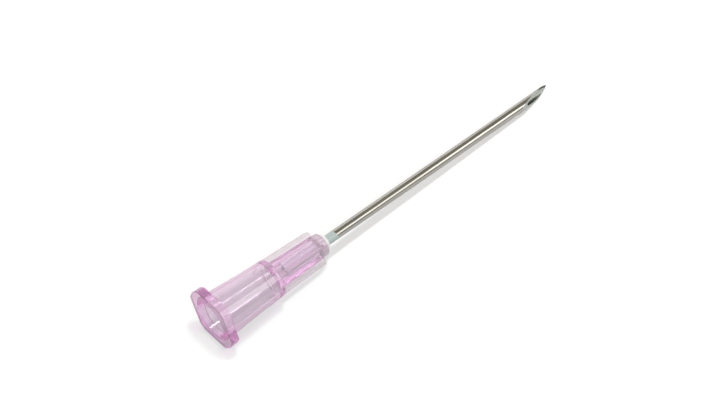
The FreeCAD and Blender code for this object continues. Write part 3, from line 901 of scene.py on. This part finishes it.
def floor_material(stage):
    """Pale floor whose lift makes it white to sight, mirrors and glass, shadows kept."""
    material = bpy.data.materials.new("pale floor")
    tree = empty_tree(material)
    paper = put(tree, "ShaderNodeTexNoise", {"Scale": FLOOR_GRAIN})
    darker = [GRAIN_TONE * value for value in stage.floor_colour]
    tone = between(tree, stage.floor_colour, darker, paper.outputs["Fac"])
    matte = put(tree, "ShaderNodeBsdfDiffuse", {"Color": tone})
    path = put(tree, "ShaderNodeLightPath").outputs
    mirrored = join(tree, "MULTIPLY", path["Is Glossy Ray"], MIRRORED_LIFT)
    seen = join(tree, "MAXIMUM", path["Is Camera Ray"], mirrored)
    seen = join(tree, "MAXIMUM", seen, path["Is Transmission Ray"])
    glow = put(tree, "ShaderNodeEmission", {"Strength": join(tree, "MULTIPLY", seen, stage.floor_glow)})
    both = put(tree, "ShaderNodeAddShader", {0: matte.outputs["BSDF"], 1: glow.outputs["Emission"]})
    put(tree, "ShaderNodeOutputMaterial", {"Surface": both.outputs["Shader"]})
    return material


def room_world(stage):
    """Dim room for light and mirrors, pale through glass and white to sight."""
    world = bpy.data.worlds.new("studio")
    tree = empty_tree(world)
    dim, pale, white = (
        put(tree, "ShaderNodeBackground", {"Color": (*tone, 1.0)}).outputs["Background"]
        for tone in (stage.room, stage.surroundings, (1.0, 1.0, 1.0)))
    path = put(tree, "ShaderNodeLightPath").outputs
    through = put(tree, "ShaderNodeMixShader", {"Fac": path["Is Transmission Ray"], 1: dim, 2: pale})
    mix = put(tree, "ShaderNodeMixShader", {
        "Fac": path["Is Camera Ray"], 1: through.outputs["Shader"], 2: white})
    put(tree, "ShaderNodeOutputWorld", {"Surface": mix.outputs["Shader"]})
    bpy.context.scene.world = world


# Lamps: name, lean from the vertical in degrees (on the far side where negative), lean
# ahead towards the point in degrees, distance, width and length in metres, brightness,
# and whether steel and plastic mirror it.
LAMPS = (
    ("top light", -4, 14, 1.0, 0.17, 0.17, 68.0, False),
    ("near softbox", 46.5, 0, 0.6, 0.37, 0.85, 2.0, True),
    ("far softbox", -41, 0, 0.8, 0.06, 0.9, 1.5, True),
    ("far strip", -65, 0, 0.8, 0.5, 1.2, 0.9, True),
)


def softbox(name, lean, ahead, distance, width, reach, brightness, mirrored):
    """Rectangular lamp beside the needle, its long side along it.

    Its direction is the cosine of the lean ahead times the leaning vertical, plus
    the sine times the needle's axis. At a brightness of one a mirror shows it white.
    """
    lean, ahead = math.radians(lean), math.radians(ahead)
    square = math.cos(lean) * UPRIGHT - math.sin(lean) * FAR_SIDE
    direction = Vector(math.cos(ahead) * square + math.sin(ahead) * AXIS)
    along = Vector(AXIS)
    lamp = bpy.data.lights.new(name, "AREA")
    lamp.shape = "RECTANGLE"
    lamp.size = reach
    lamp.size_y = width
    lamp.energy = brightness * math.pi * width * reach
    holder = bpy.data.objects.new(name, lamp)
    across = direction.cross(along).normalized()
    turn = Matrix((across.cross(direction), across, direction)).transposed()
    holder.matrix_world = Matrix.Translation(direction * distance) @ turn.to_4x4()
    holder.visible_glossy = mirrored
    bpy.context.scene.collection.objects.link(holder)


def floor_mesh(side, cells=8):
    """Flat grid at the level on which the needle lies."""
    step = np.linspace(-side / 2, side / 2, cells + 1)
    x, y = np.meshgrid(step, step, indexing="ij")
    points = np.stack([x, y, 0 * x], axis=-1).reshape(-1, 3)
    index = np.arange(len(points)).reshape(cells + 1, cells + 1)
    corners = (index[:-1, :-1], index[1:, :-1], index[1:, 1:], index[:-1, 1:])
    quads = np.stack(corners, axis=-1).reshape(-1, 4)
    mesh = bpy.data.meshes.new("floor")
    mesh.from_pydata(points.tolist(), [], quads.tolist())
    mesh.update()
    return bpy.data.objects.new("floor", mesh)


class NEEDLE_OT_hub(bpy.types.Operator):
    """Build the moulded hub"""
    bl_idname = "needle.hub"
    bl_label = "Hub"

    def execute(self, context):
        hub, tube = settings("needle_hub"), settings("needle_tube")
        piece = ring_mesh("clear_hub", hub_grid(hub, tube, settings("needle_stage").columns), PLASTIC_CREASE)
        seat(piece, "hub", plastic_material(hub, settings("needle_finishes")))
        return {"FINISHED"}


class NEEDLE_OT_cannula(bpy.types.Operator):
    """Build the steel tube with its ground point"""
    bl_idname = "needle.cannula"
    bl_label = "Steel tube"

    def execute(self, context):
        hub, tube = settings("needle_hub"), settings("needle_tube")
        points, creases = cannula_grid(hub, tube, settings("needle_stage").columns)
        piece = ring_mesh("steel_cannula", points, STEEL_CREASE, creases)
        rings = np.arange(points.shape[0])
        ground = (rings >= creases[1]) & (rings < creases[3])
        lumen = (rings >= creases[2]) & (rings < creases[3])
        across = np.ones(points.shape[:2])
        # Masks of painted shade on the lancet facets and on the lumen's lower wall.
        lancet = (ground & ~lumen)[:, None] * painted_lancet_shade(points, tube)
        lower_wall_shade = lumen[:, None] * lumen_shade(points, tube)
        masks = (ground[:, None] * across, lumen[:, None] * across, lancet, lower_wall_shade)
        for name, mask in zip(TUBE_MASKS, masks):
            marks = piece.data.attributes.new(name, "FLOAT", "CORNER")
            marks.data.foreach_set("value", np.repeat(mask.astype(np.float32), 4))
        seat(piece, "cannula", steel_material(hub, tube, settings("needle_finishes")))
        return {"FINISHED"}


class NEEDLE_OT_adhesive(bpy.types.Operator):
    """Build the bead of cured adhesive"""
    bl_idname = "needle.adhesive"
    bl_label = "Adhesive"

    def execute(self, context):
        hub, tube = settings("needle_hub"), settings("needle_tube")
        columns = settings("needle_stage").columns // 4
        points = adhesive_grid(hub, tube, settings("needle_bead"), columns)
        piece = ring_mesh("adhesive_bead", points, PLASTIC_CREASE)
        material = adhesive_material(hub, settings("needle_finishes"))
        seat(piece, "adhesive", material)
        return {"FINISHED"}


class NEEDLE_OT_stage(bpy.types.Operator):
    """Set up floor, light and camera"""
    bl_idname = "needle.stage"
    bl_label = "Stage"

    def execute(self, context):
        stage = settings("needle_stage")
        floor = floor_mesh(stage.floor_size)
        floor.data.materials.append(floor_material(stage))
        context.scene.collection.objects.link(floor)
        room_world(stage)
        for lamp in LAMPS:
            softbox(*lamp)
        lens = bpy.data.cameras.new("camera")
        lens.lens = stage.focal_length
        lens.sensor_width = 36
        camera = bpy.data.objects.new("camera", lens)
        level_turn = Vector(stage.camera_aim).to_track_quat("-Z", "Y")
        roll = Quaternion((0.0, 0.0, 1.0), stage.camera_roll)
        turn = (level_turn @ roll).to_matrix().to_4x4()
        camera.matrix_world = Matrix.Translation(stage.camera_place) @ turn
        context.scene.collection.objects.link(camera)
        context.scene.camera = camera
        context.scene.view_settings.view_transform = "Standard"
        context.scene.cycles.glossy_bounces = stage.light_steps
        context.scene.cycles.transmission_bounces = stage.light_steps
        return {"FINISHED"}


OPERATORS = (NEEDLE_OT_hub, NEEDLE_OT_cannula, NEEDLE_OT_adhesive, NEEDLE_OT_stage)


class NEEDLE_PT_panel(bpy.types.Panel):
    """The needle's pieces and sizes"""
    bl_idname = "NEEDLE_PT_panel"
    bl_label = "Needle"
    bl_space_type = "VIEW_3D"
    bl_region_type = "UI"
    bl_category = "Needle"

    def draw(self, context):
        for operator in OPERATORS:
            self.layout.operator(operator.bl_idname)
        for group, kind in GROUPS.items():
            box = self.layout.box()
            for name in kind.__annotations__:
                box.prop(getattr(context.scene, group), name)


CLASSES = (*GROUPS.values(), *OPERATORS, NEEDLE_PT_panel)


def register():
    for item in CLASSES:
        bpy.utils.register_class(item)
    for name, kind in GROUPS.items():
        setattr(bpy.types.Scene, name, PointerProperty(type=kind))


def unregister():
    for name in GROUPS:
        delattr(bpy.types.Scene, name)
    for item in reversed(CLASSES):
        bpy.utils.unregister_class(item)


def main():
    register()
    bpy.ops.needle.hub()
    bpy.ops.needle.cannula()
    bpy.ops.needle.adhesive()
    bpy.ops.needle.stage()


if __name__ == "__main__":
    main()
